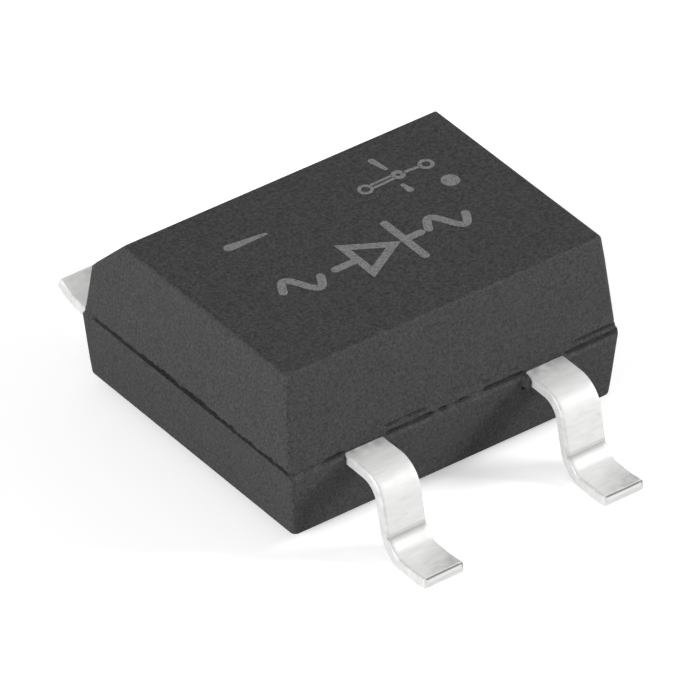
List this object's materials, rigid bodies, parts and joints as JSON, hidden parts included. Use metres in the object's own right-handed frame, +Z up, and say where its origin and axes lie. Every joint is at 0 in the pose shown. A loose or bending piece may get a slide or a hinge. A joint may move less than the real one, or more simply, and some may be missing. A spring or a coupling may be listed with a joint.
{
  "type": "bridge rectifier",
  "caption": "Small surface-mount bridge rectifier: a drafted moulded block, bevelled along one top edge, with gull-wing leads.",
  "frame": {"origin": "middle of the footprint, on the plane that the four feet stand on", "axes": "+X along the block from the minus side to the plus side, +Y across it from the alternating-current leads to the minus and plus leads, +Z up"},
  "size_m": [0.0046, 0.0068, 0.0023],
  "materials": {
    "moulding_compound": "matte, fine grain",
    "tinned_lead_frame": "matte tin plate",
    "silicon": "smooth",
    "solder": "satin"
  },
  "bodies": {
    "root": {"moulded_body": "moulding_compound", "minus_lead": "tinned_lead_frame", "plus_lead": "tinned_lead_frame", "ac_lead_left": "tinned_lead_frame", "ac_lead_right": "tinned_lead_frame", "minus_near_die": "silicon", "minus_far_die": "silicon", "plus_near_die": "silicon", "plus_far_die": "silicon", "minus_near_solder_below": "solder", "minus_near_solder_above": "solder", "minus_far_solder_below": "solder", "minus_far_solder_above": "solder", "plus_near_solder_below": "solder", "plus_near_solder_above": "solder", "plus_far_solder_below": "solder", "plus_far_solder_above": "solder"}
  },
  "joints": []
}
